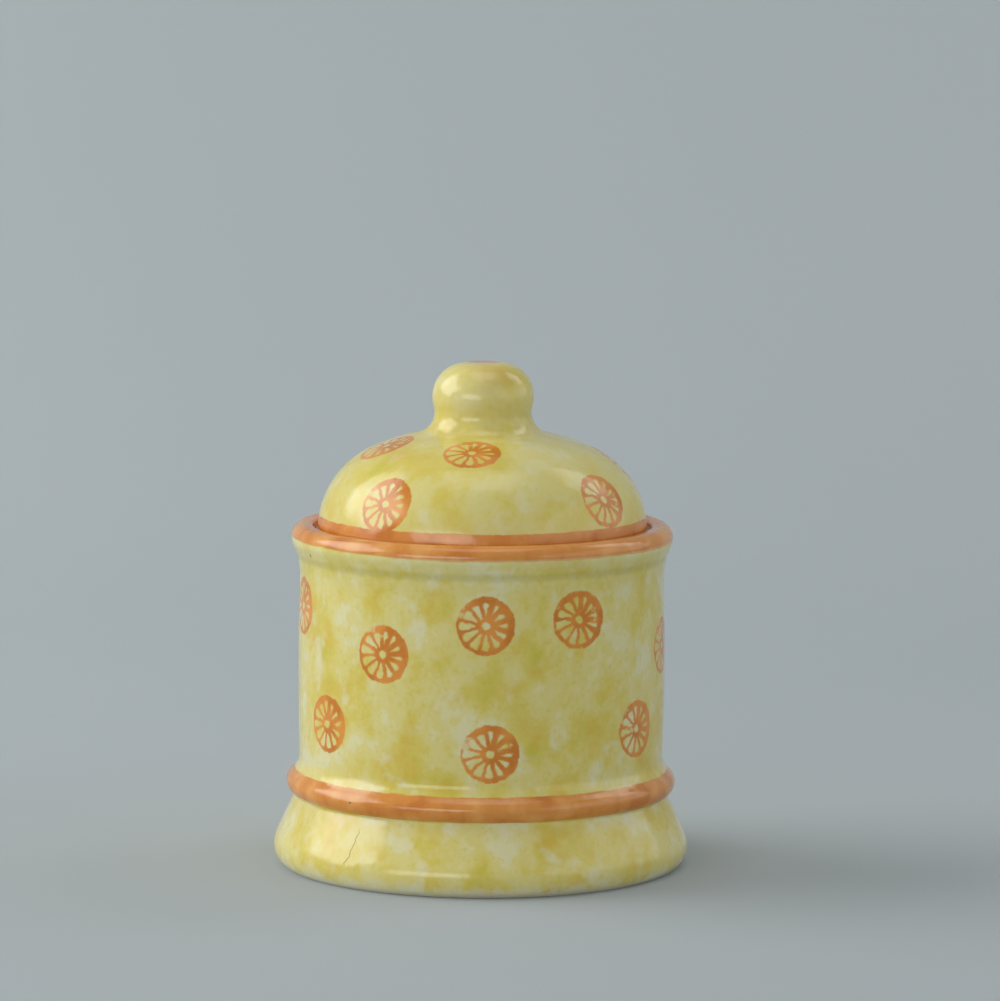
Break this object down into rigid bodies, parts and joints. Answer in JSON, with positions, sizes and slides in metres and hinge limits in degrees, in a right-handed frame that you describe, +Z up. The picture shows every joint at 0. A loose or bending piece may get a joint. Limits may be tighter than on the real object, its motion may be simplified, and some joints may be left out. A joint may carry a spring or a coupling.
{
  "type": "jam pot",
  "caption": "Lidded earthenware jam pot, glazed yellow with orange bands and fruit-slice stamps, with a knobbed dome lid notched for a spoon",
  "frame": {"origin": "on the pot's axis at the level of the foot ring that stands on the table", "axes": "+Z up along the turning axis, -Y the front, the spoon notch at the back towards +Y and a little to -X"},
  "size_m": [0.1, 0.1, 0.121],
  "materials": {
    "pot_glaze": "glossy sponged yellow glaze with orange painted bands and stamped fruit slices",
    "lid_glaze": "glossy sponged yellow glaze with an orange painted edge and stamped fruit slices"
  },
  "bodies": {
    "root": {"pot": "pot_glaze", "lid": "lid_glaze"}
  },
  "joints": []
}
